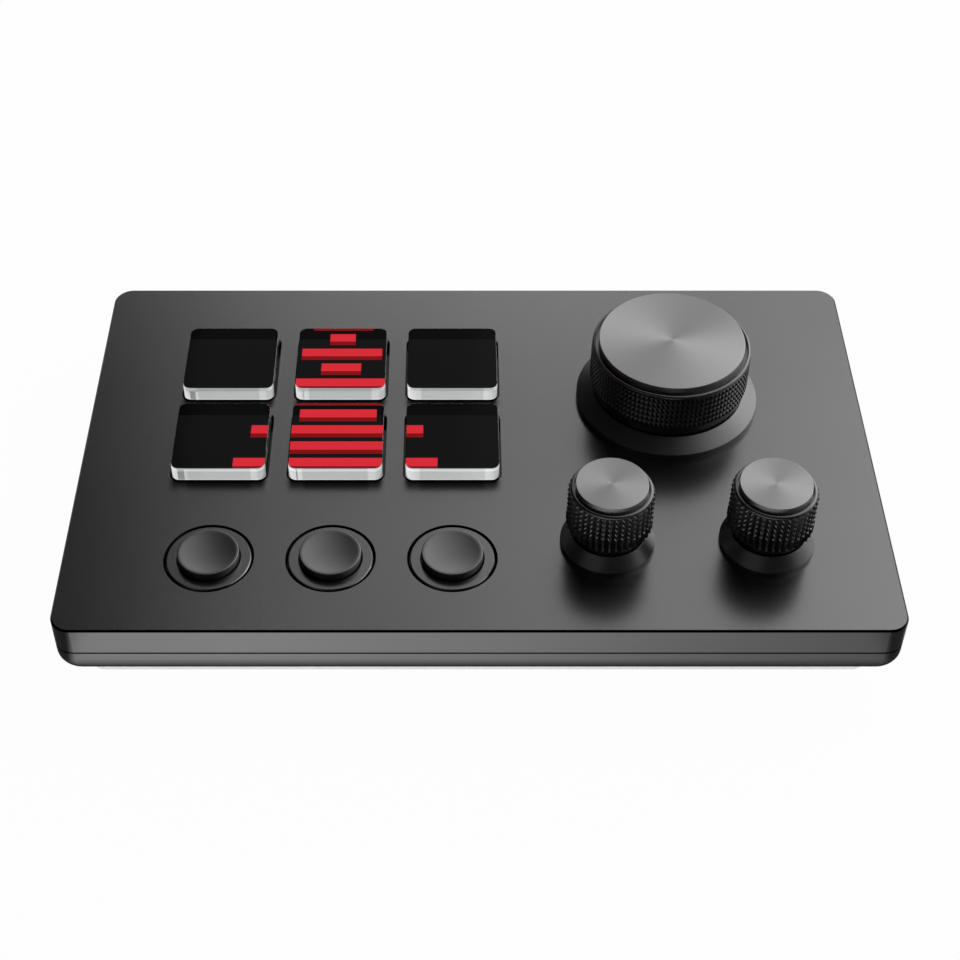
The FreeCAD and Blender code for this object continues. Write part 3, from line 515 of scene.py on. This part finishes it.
black = (0.185, 0.185, 0.187)
finishes = {
    "caseCoat": coatedMetal("caseCoat", black, 0.23, dark=plateShade),
    "trayCoat": coatedMetal("trayCoat", black, 0.23, shadeAbove=8.87),
    "ringCoat": coatedMetal("ringCoat", black, 0.23),
    "collarCoat": coatedMetal("collarCoat", tint(black, 0.78), 0.36),
    "knobCoat": coatedMetal("knobCoat", tint(black, 0.7), 0.27),
    "buttonCoat": coatedMetal("buttonCoat", tint(black, 0.9), 0.36, grain=0.008),
    "padSilicone": milkySilicone("padSilicone", (0.86, 0.86, 0.855)),
    "screwZinc": drawnMetal("screwZinc", (0.6, 0.6, 0.58), 0.3),
    "boardLaminate": laminate("boardLaminate", (0.012, 0.05, 0.03)),
    "innerMoulding": moulded("innerMoulding", (0.02, 0.02, 0.021), 0.6),
    "springSilicone": moulded("springSilicone", (0.03, 0.03, 0.03), 0.65),
    "chipMoulding": moulded("chipMoulding", (0.015, 0.015, 0.016), 0.5),
    "shaftBrass": drawnMetal("shaftBrass", (0.75, 0.56, 0.24), 0.25),
    "socketSteel": drawnMetal("socketSteel", (0.55, 0.55, 0.56), 0.28),
    "displayPicture": displayPicture("displayPicture", displayArt),
    "pictureFace": displayPicture("pictureFace", displayArt, keyBlock),
    "clearBlock": clearBlock("clearBlock", keyBlock),
}
print("finishes made:", len(finishes))

# Finishes of the CAD nodes that are shown as they are.
kept = {
    "caseCoat": ["top_shell"],
    "trayCoat": ["bottom_shell"],
    "padSilicone": ["base_pad"],
    "screwZinc": ["case_screws", "board_screws"],
    "boardLaminate": ["main_board"],
    "innerMoulding": ["display_frame", "display_connector"]
        + [part + str(number) for part in ("button_switch_", "switch_plunger_") for number in (1, 2, 3)]
        + [kind + "_rotor" for kind in kinds],
    "springSilicone": ["key_membrane"],
    "chipMoulding": ["controller_chip"],
    "socketSteel": ["usb_socket"] + [kind + "_encoder" for kind in kinds],
    "shaftBrass": [kind + part for kind in kinds for part in ("_shaft", "_nut")],
    "displayPicture": ["display_panel"],
}
for finishName, members in kept.items():
    for member in members:
        node = nodes[member]
        node.data.materials.clear()
        node.data.materials.append(finishes[finishName])
print("CAD nodes finished:", sum(len(members) for members in kept.values()))

# ---- clear keys

# A section carried round the key's outline. The faces of its top, told by their height, take the
# picture.
def makeKey(number, key):
    reach, edge = key["flangeReach"], key["flangeEdge"]
    section = roundedSection([
        (-1.0, key["bottom"], 0), (0, key["bottom"], key["bottomEdge"]), (0, key["flangeBottom"], 0),
        (reach, key["flangeBottom"], edge), (reach, key["flangeTop"], edge),
        (0, key["flangeTop"], 0), (0, key["top"], key["topEdge"]), (-1.0, key["top"], 0)], steps=6)
    node = "display_key_%d" % number
    points = wrapped(section, middleOf(node), key["width"], key["depth"], key["corner"])
    mesh = skin("clearKey_%d" % number, points)
    dress(node, mesh, finishes["clearBlock"], "key_%d" % number)
    mesh.materials.append(finishes["pictureFace"])
    centres = np.zeros(len(mesh.polygons) * 3)
    mesh.polygons.foreach_get("center", centres)
    isTop = centres[2::3] > plateTop + (key["top"] - 0.001) * mm
    mesh.polygons.foreach_set("material_index", isTop.astype(int))


keySpring = {
    "wall": 0.5, "corner": 2.2, "waist": 0.08, "waistEdge": 0.1, "edge": 0.04,
    "travel": 0.9,             # how far its key pushes it down
}


# The soft wall that lifts a key: a slightly waisted section carried round.
def makeSpring(number, spring):
    node = "key_spring_%d" % number
    low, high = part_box(node)
    size = np.array(high - low) / mm
    middle = np.array([(low.x + high.x) / 2, (low.y + high.y) / 2, low.z]) / mm
    section = roundedSection([
        (-spring["wall"], 0, 0), (0, 0, 0), (-spring["waist"], size[2] / 2, spring["waistEdge"]),
        (0, size[2], spring["edge"]), (-spring["wall"], size[2], spring["edge"])], steps=3)
    points = wrapped(section, middle, size[0], size[1], spring["corner"])[1:-1]
    mesh = skin("softWall_%d" % number, points, ring=True)
    piece = dress(node, mesh, finishes["springSilicone"], "housing")
    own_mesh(piece)


for number in range(1, 7):
    makeKey(number, keyBlock)
    makeSpring(number, keySpring)
print("clear keys made")

# ---- round buttons and their rings

button = {
    "radius": 4.8, "rise": 1.45, "dish": 0.45, "rim": 0.35, "edge": 0.14,
    "base": -3.0, "shoulder": -2.3, "flangeReach": 0.8, "bowlRows": 14, "columns": 128,
}
buttonRing = {
    "inner": 5.0, "outer": 6.65, "chamfer": 0.14, "lipTop": -1.6, "base": -2.2, "lipReach": 0.75,
    "edge": 0.06, "columns": 128,
}


# The dish is a bowl: its depth falls from the middle with the square of the radius.
def makeButton(number, cap):
    inner, flange = cap["radius"] - cap["rim"], cap["radius"] + cap["flangeReach"]
    outside = roundedSection([
        (0, cap["base"], 0), (flange, cap["base"], 0), (flange, cap["shoulder"], 0),
        (cap["radius"], cap["shoulder"], 0), (cap["radius"], cap["rise"], cap["edge"]),
        (inner + 0.05, cap["rise"], 0)])
    radius = np.linspace(inner, 0, cap["bowlRows"])
    bowl = np.stack([radius, cap["rise"] - cap["dish"] * (1 - (radius / inner) ** 2)], -1)
    node = "round_button_%d" % number
    points = turned(np.concatenate([outside, bowl]), middleOf(node), cap["columns"])
    dress(node, skin("buttonCap_%d" % number, points), finishes["buttonCoat"], "button_%d" % number)


# A closed section turned about the button's axis: the flush ring with the lip under the plate.
def makeRing(number, ring):
    lip = ring["outer"] + ring["lipReach"]
    section = roundedSection([
        (ring["inner"], ring["base"], 0), (lip, ring["base"], 0), (lip, ring["lipTop"], 0),
        (ring["outer"], ring["lipTop"], 0), (ring["outer"], -ring["chamfer"], 0),
        (ring["outer"] - ring["chamfer"], 0, ring["edge"]), (ring["inner"], 0, ring["edge"])], steps=3)
    node = "button_ring_%d" % number
    points = turned(section, middleOf(node), ring["columns"])
    dress(node, skin("buttonSurround_%d" % number, points, ring=True), finishes["ringCoat"], "housing")


for number in range(1, 4):
    makeButton(number, button)
    makeRing(number, buttonRing)
print("round buttons made")

# ---- knobs: collar, knurled body and spun disc

largeKnob = {
    "collarRadius": 15.2, "collarSide": 1.2, "coneRadius": 12.7, "coneTop": 3.0,
    "collarBore": 12.55, "bushing": 3.6, "collarFloor": 0.6, "collarEdge": 0.12,
    "footRadius": 12.35, "footBase": 2.3, "knurlBase": 3.9, "knurlRadius": 13.2, "bandRadius": 12.84,
    "knurlFrom": 5.03, "knurlTo": 11.33, "knurlRows": 6, "knurlColumns": 104, "knurlDepth": 0.36,
    "rowDepth": 0.32, "fluteFrom": None, "grooveRadius": 12.8,
    "rimBase": 11.4, "rimTop": 12.1, "rimRadius": 13.1, "rimEdge": 0.42,
    "seatRadius": 12.6, "seat": 11.5,
    "hollowRadius": 10.8, "hollowTop": 5.5, "boreRadius": 3.05, "boreTop": 10.6,
    "discRadius": 12.0, "discTop": 13.1, "discEdge": 0.06, "ringPitch": 0.3,
}
smallKnob = {
    "collarRadius": 7.43, "collarSide": 0.8, "coneRadius": 5.95, "coneTop": 2.9, "collarBore": 5.8,
    "bushing": 3.6, "collarFloor": 0.6, "collarEdge": 0.1,
    "footRadius": 5.6, "footBase": 2.3, "knurlBase": 4.4, "knurlRadius": 6.75, "bandRadius": 6.2,
    "knurlFrom": 6.75, "knurlTo": 11.7, "knurlRows": 5, "knurlColumns": 40, "knurlDepth": 0.52,
    "rowDepth": 0.27, "fluteFrom": 4.55, "grooveRadius": 6.15,
    "rimBase": 11.72, "rimTop": 12.15, "rimRadius": 6.42, "rimEdge": 0.4,
    "seatRadius": 5.86, "seat": 11.5,
    "hollowRadius": 4.1, "hollowTop": 3.2, "boreRadius": 3.05, "boreTop": 10.6,
    "discRadius": 5.55, "discTop": 13.1, "discEdge": 0.05, "ringPitch": 0.3,
}
knurl = {
    "ridge": [1.0, 0.42, 0.0, 0.42],       # depth of a groove at the four steps across one cell
    "lead": 0.05, "fluteEnd": 0.25,        # heights of the slopes that lead into band and flutes
    "grooveLead": 0.02, "rimFoot": 0.02, "seatEdge": 0.05,
}
disc = {"colour": (0.33, 0.33, 0.332), "roughness": 0.4, "hub": 0.5, "columns": 256}


# A closed section turned about the knob's axis: a short upright side, then the cone.
def makeCollar(kind, knob):
    edge = knob["collarEdge"]
    section = roundedSection([
        (knob["bushing"], 0, 0), (knob["collarRadius"], 0, 0),
        (knob["collarRadius"], knob["collarSide"], edge),
        (knob["coneRadius"], knob["coneTop"], edge / 2), (knob["collarBore"], knob["coneTop"], 0),
        (knob["collarBore"], knob["collarFloor"], 0), (knob["bushing"], knob["collarFloor"], 0)],
        steps=4)
    points = turned(section, middleOf(kind + "_collar"), 192)
    dress(kind + "_collar", skin(kind + "_cone", points, ring=True), finishes["collarCoat"], "housing")


# The grip band's cells are small pyramids with blunt tips: the depth below the crests is the
# larger of two ridge waves, a deep one round the knob and a shallower one up it. Below them the
# wave round the knob runs on alone, which makes plain flutes. Quads on a cell's diagonals are split
# along the crease.
def makeKnob(kind, body, knob):
    steps = len(knurl["ridge"])
    upSteps, aroundSteps = knob["knurlRows"] * steps, knob["knurlColumns"] * steps
    bore, hollow, foot, band, crest = [knob[name] for name in (
        "boreRadius", "hollowRadius", "footRadius", "bandRadius", "knurlRadius")]
    low, high = knob["knurlFrom"], knob["knurlTo"]
    bandStart = knob["fluteFrom"] or low
    inside = [(0, knob["boreTop"]), (bore, knob["boreTop"]), (bore, knob["hollowTop"]),
              (hollow, knob["hollowTop"]), (hollow, knob["footBase"]), (foot, knob["footBase"]),
              (foot, knob["knurlBase"]), (band, knob["knurlBase"]), (band, bandStart - knurl["lead"])]
    flutes = []
    if knob["fluteFrom"]:
        flutes = [(crest, knob["fluteFrom"] + knurl["fluteEnd"]), (crest, low - knurl["fluteEnd"])]
    cells = np.linspace(low, high, upSteps + 1)
    cells = np.stack([np.full(upSteps + 1, crest), cells], -1)
    rim = roundedSection([
        (knob["grooveRadius"], high + knurl["grooveLead"], 0),
        (knob["grooveRadius"], knob["rimBase"], 0),
        (knob["rimRadius"], knob["rimBase"], knurl["rimFoot"]),
        (knob["rimRadius"], knob["rimTop"], knob["rimEdge"]),
        (knob["seatRadius"], knob["rimTop"], knurl["seatEdge"]),
        (knob["seatRadius"], knob["seat"], 0), (0, knob["seat"], 0)])
    section = np.concatenate([np.array(inside), np.array(flutes).reshape(-1, 2), cells, rim])
    around = np.tile(knurl["ridge"], knob["knurlColumns"]) * knob["knurlDepth"]
    up = np.append(np.tile(knurl["ridge"], knob["knurlRows"]), 1.0)[:, None] * knob["rowDepth"]
    relief = np.zeros((len(section), aroundSteps))
    first = len(inside) + len(flutes)
    relief[len(inside):first] = around
    relief[first:first + upSteps + 1] = np.maximum(up, around)
    points = turned(section, middleOf(kind + "_knob"), aroundSteps, relief)
    quadUp = (np.arange(len(section) - 1) - first)[:, None] % steps
    quadAround = np.arange(aroundSteps)[None, :] % steps
    split = (quadUp < steps / 2) == (quadAround < steps / 2)
    mesh = skin(kind + "_grip", points, split=split, sharp=20)
    dress(kind + "_knob", mesh, finishes["knobCoat"], body)


# A section turned about the knob's axis, with its own finish, whose rings lie about that axis.
def makeDisc(kind, body, knob):
    radius, top = knob["discRadius"], knob["discTop"]
    section = roundedSection([
        (0, knob["seat"], 0), (radius, knob["seat"], 0), (radius, top, knob["discEdge"]),
        (disc["hub"], top, 0), (0, top, 0)], steps=3)
    middle = middleOf(kind + "_knob_cap")
    finish = spunMetal(kind + "Disc", middle, disc["colour"], disc["roughness"], knob["ringPitch"])
    points = turned(section, middle, disc["columns"])
    dress(kind + "_knob_cap", skin(kind + "_disc", points), finish, body)


for kind, knob in zip(kinds, (largeKnob, smallKnob, smallKnob)):
    makeCollar(kind, knob)
    makeKnob(kind, kind + "_dial", knob)
    makeDisc(kind, kind + "_dial", knob)
print("knobs made")

# ---- floor, light and camera

studio = {
    "floorSize": 6.0, "floorCells": 8, "floorTone": 0.86, "floorHeight": -0.00002,
    "floorShown": 0.98,                     # share of plain white that the camera sees in the floor
    # A painted reflection for glossy stuff only: a white patch before the case, with painted shade
    # beside it.
    "reflectionLevel": 1.1, "reflectionShade": 0.06,    # white card before the case, and the dark beside it
    "reflectionFall": (-0.045, 0.085),            # where the card's level falls from left to right
    "reflectionFloor": 0.33,                      # its level at the right
    "reflectionBack": (-0.0483, -0.038), "reflectionSide": (0.0625, 0.069),
    # Painted shadow under the case, seen only by glossy stuff.
    "shadeBack": (-0.035, -0.03),           # where the dark ends under the case
    "ambient": 0.02,
}
# Softboxes: the way to each, its distance, its width and its level.
lamps = {
    "core": ((0.71, 0.45, 0.5), 1.2, 1.7, 1.15),
    "side": ((0.71, 0.45, 0.5), 1.2, 2.5, 0.8),
    "edge": ((0.71, 0.45, 0.5), 1.2, 3.6, 0.5),
    "strip": ((0.55, 0.7, 0.45), 1.4, 0.5, 1.4),
    "low": ((0.8, 0.55, 0.3), 1.2, 1.3, 1.1),
    "back": ((-0.05, 1.0, 0.34), 1.4, 0.9, 0.8),
    "fill": ((-0.55, -0.75, 0.45), 1.5, 1.2, 0.12),
}


# A pale floor, plain white to the camera. Glossy stuff sees a painted reflection on it before the
# case, a white patch whose level falls from left to right, with painted shade at its sides and a
# painted shadow under the case.
def makeFloor(settings):
    half, cells = settings["floorSize"] / 2, settings["floorCells"]
    line = np.linspace(-half, half, cells + 1)
    grid = np.stack(np.meshgrid(line, line), -1).reshape(-1, 2)
    points = np.append(grid, np.full((len(grid), 1), settings["floorHeight"]), 1)
    corner = (np.arange(cells)[:, None] * (cells + 1) + np.arange(cells)).ravel()
    faces = np.stack([corner, corner + 1, corner + cells + 2, corner + cells + 1], -1)
    mesh = bpy.data.meshes.new("floor")
    mesh.from_pydata(points.tolist(), [], faces.tolist())
    floor = bpy.data.objects.new("floor", mesh)
    scene.collection.objects.link(floor)
    finish = Finish("paleFloor")
    paper = finish.node("ShaderNodeBsdfDiffuse", sockets={0: (*[settings["floorTone"]] * 3, 1)})
    white, paintedReflection, shade = [finish.node("ShaderNodeEmission", sockets={1: level})
                          for level in (1.0, settings["reflectionLevel"], settings["reflectionShade"])]
    seen, mirrored, through = finish.parts(finish.node("ShaderNodeLightPath"), (
        "Is Camera Ray", "Is Glossy Ray", "Is Transmission Ray"))
    x, y, z = finish.axes(finish.place())
    # Painted reflection and painted shadow: masks for the patch before the case and the dark under it.
    front = 1 - y.rise(*settings["reflectionBack"])
    middle = 1 - abs(x).rise(*settings["reflectionSide"])
    fall = 1 - (1 - settings["reflectionFloor"]) * x.rise(*settings["reflectionFall"])
    paintedReflection = finish.node("ShaderNodeMixShader", sockets={0: fall * middle * front, 1: shade, 2: paintedReflection})
    shown = seen.most(through) * settings["floorShown"]
    plain = finish.node("ShaderNodeMixShader", sockets={0: shown, 1: paper, 2: white})
    near = mirrored * (1 - through) * front.most(1 - y.rise(*settings["shadeBack"]))
    mesh.materials.append(finish.close(
        finish.node("ShaderNodeMixShader", sockets={0: near, 1: plain, 2: paintedReflection})))


# A round softbox of even brightness: its power is its level times pi times its area.
def makeLamp(name, away, distance, width, level):
    data = bpy.data.lights.new(name, "AREA")
    data.shape = "DISK"
    data.size = width
    data.energy = level * math.pi * math.pi * width * width / 4
    lamp = bpy.data.objects.new(name, data)
    away = Vector(away).normalized()
    lamp.location = away * distance
    lamp.rotation_euler = away.to_track_quat("Z", "Y").to_euler()
    scene.collection.objects.link(lamp)


# The world is white to the camera, also through clear stuff, and dim to all else: its level is the
# ambient one plus what is missing from it to white where it is seen.
def makeWorld(settings):
    scene.world = bpy.data.worlds.new("studio")
    finish = Finish("studio", scene.world)
    seen, through = finish.parts(finish.node("ShaderNodeLightPath"), (
        "Is Camera Ray", "Is Transmission Ray"))
    level = settings["ambient"] + (1 - settings["ambient"]) * seen.most(through)
    finish.close(finish.node("ShaderNodeBackground", sockets={0: (1, 1, 1, 1), 1: level}))


makeFloor(studio)
makeWorld(studio)
for name, lamp in lamps.items():
    makeLamp(name + "Softbox", *lamp)

view = {"place": (-4.19, -213.8, 222.03), "tilt": 44.67, "lens": 67.4, "shift": 0.0294}
camera = bpy.data.objects.new("camera", bpy.data.cameras.new("camera"))
camera.data.lens = view["lens"]
camera.data.sensor_width = 36
camera.data.shift_x = view["shift"]
camera.data.clip_start = 0.01
camera.location = Vector(view["place"]) * mm
camera.rotation_euler = (math.radians(view["tilt"]), 0, 0)
scene.collection.objects.link(camera)
scene.camera = camera
scene.view_settings.view_transform = "Standard"
print("studio made")

bpy.context.view_layer.update()
